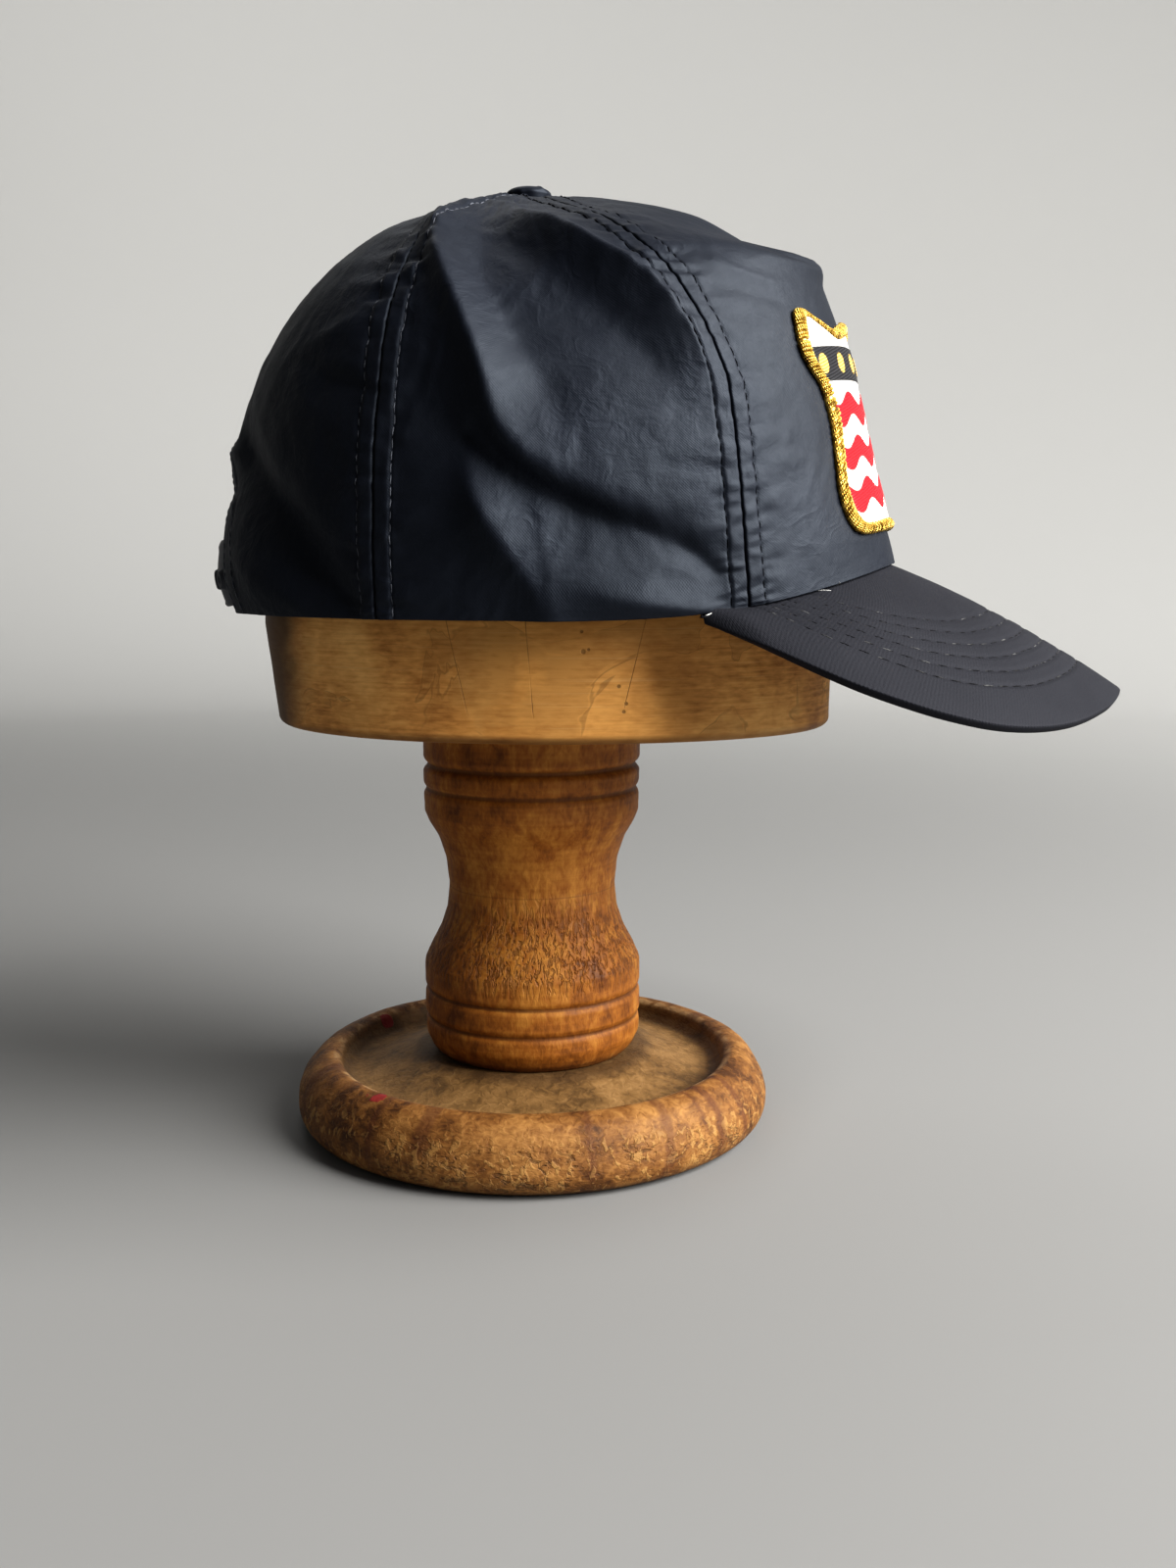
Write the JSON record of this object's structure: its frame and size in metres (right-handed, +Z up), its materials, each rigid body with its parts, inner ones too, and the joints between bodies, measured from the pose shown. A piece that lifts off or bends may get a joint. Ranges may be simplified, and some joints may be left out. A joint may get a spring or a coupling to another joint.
{
  "type": "trucker cap on a wooden hat stand",
  "caption": "Soft cap with a stiff front panel, curved brim, shield patch and snap strap, resting on a turned wooden hat stand with an oval block, a waisted post and a dished base.",
  "frame": {"origin": "centre of the flat underside of the stand's base, on the table, under the button of the cap", "axes": "+Z up; the cap's front and brim point along -Y; the wearer's right is -X"},
  "size_m": [0.1707, 0.2613, 0.2757],
  "materials": {
    "crown_nylon": "thin crinkled nylon with a soft sheen",
    "brim_cloth": "matt closely woven cloth with rows of stitching",
    "patch_cloth": "embroidered twill",
    "patch_thread": "metallic overlocked thread",
    "strap_plastic": "moulded satin plastic",
    "block_wood": "worn oiled wood",
    "post_wood": "turned wood with old shellac",
    "base_wood": "turned wood with old stains"
  },
  "bodies": {
    "root": {"front_panel": "crown_nylon", "side_panel_right": "crown_nylon", "side_panel_left": "crown_nylon", "back_panel_right": "crown_nylon", "back_panel_left": "crown_nylon", "crown_button": "crown_nylon", "brim": "brim_cloth", "patch": "patch_cloth", "patch_border": "patch_thread", "snap_strap": "strap_plastic", "hat_block": "block_wood", "stand_post": "post_wood", "stand_base": "base_wood"}
  },
  "joints": []
}
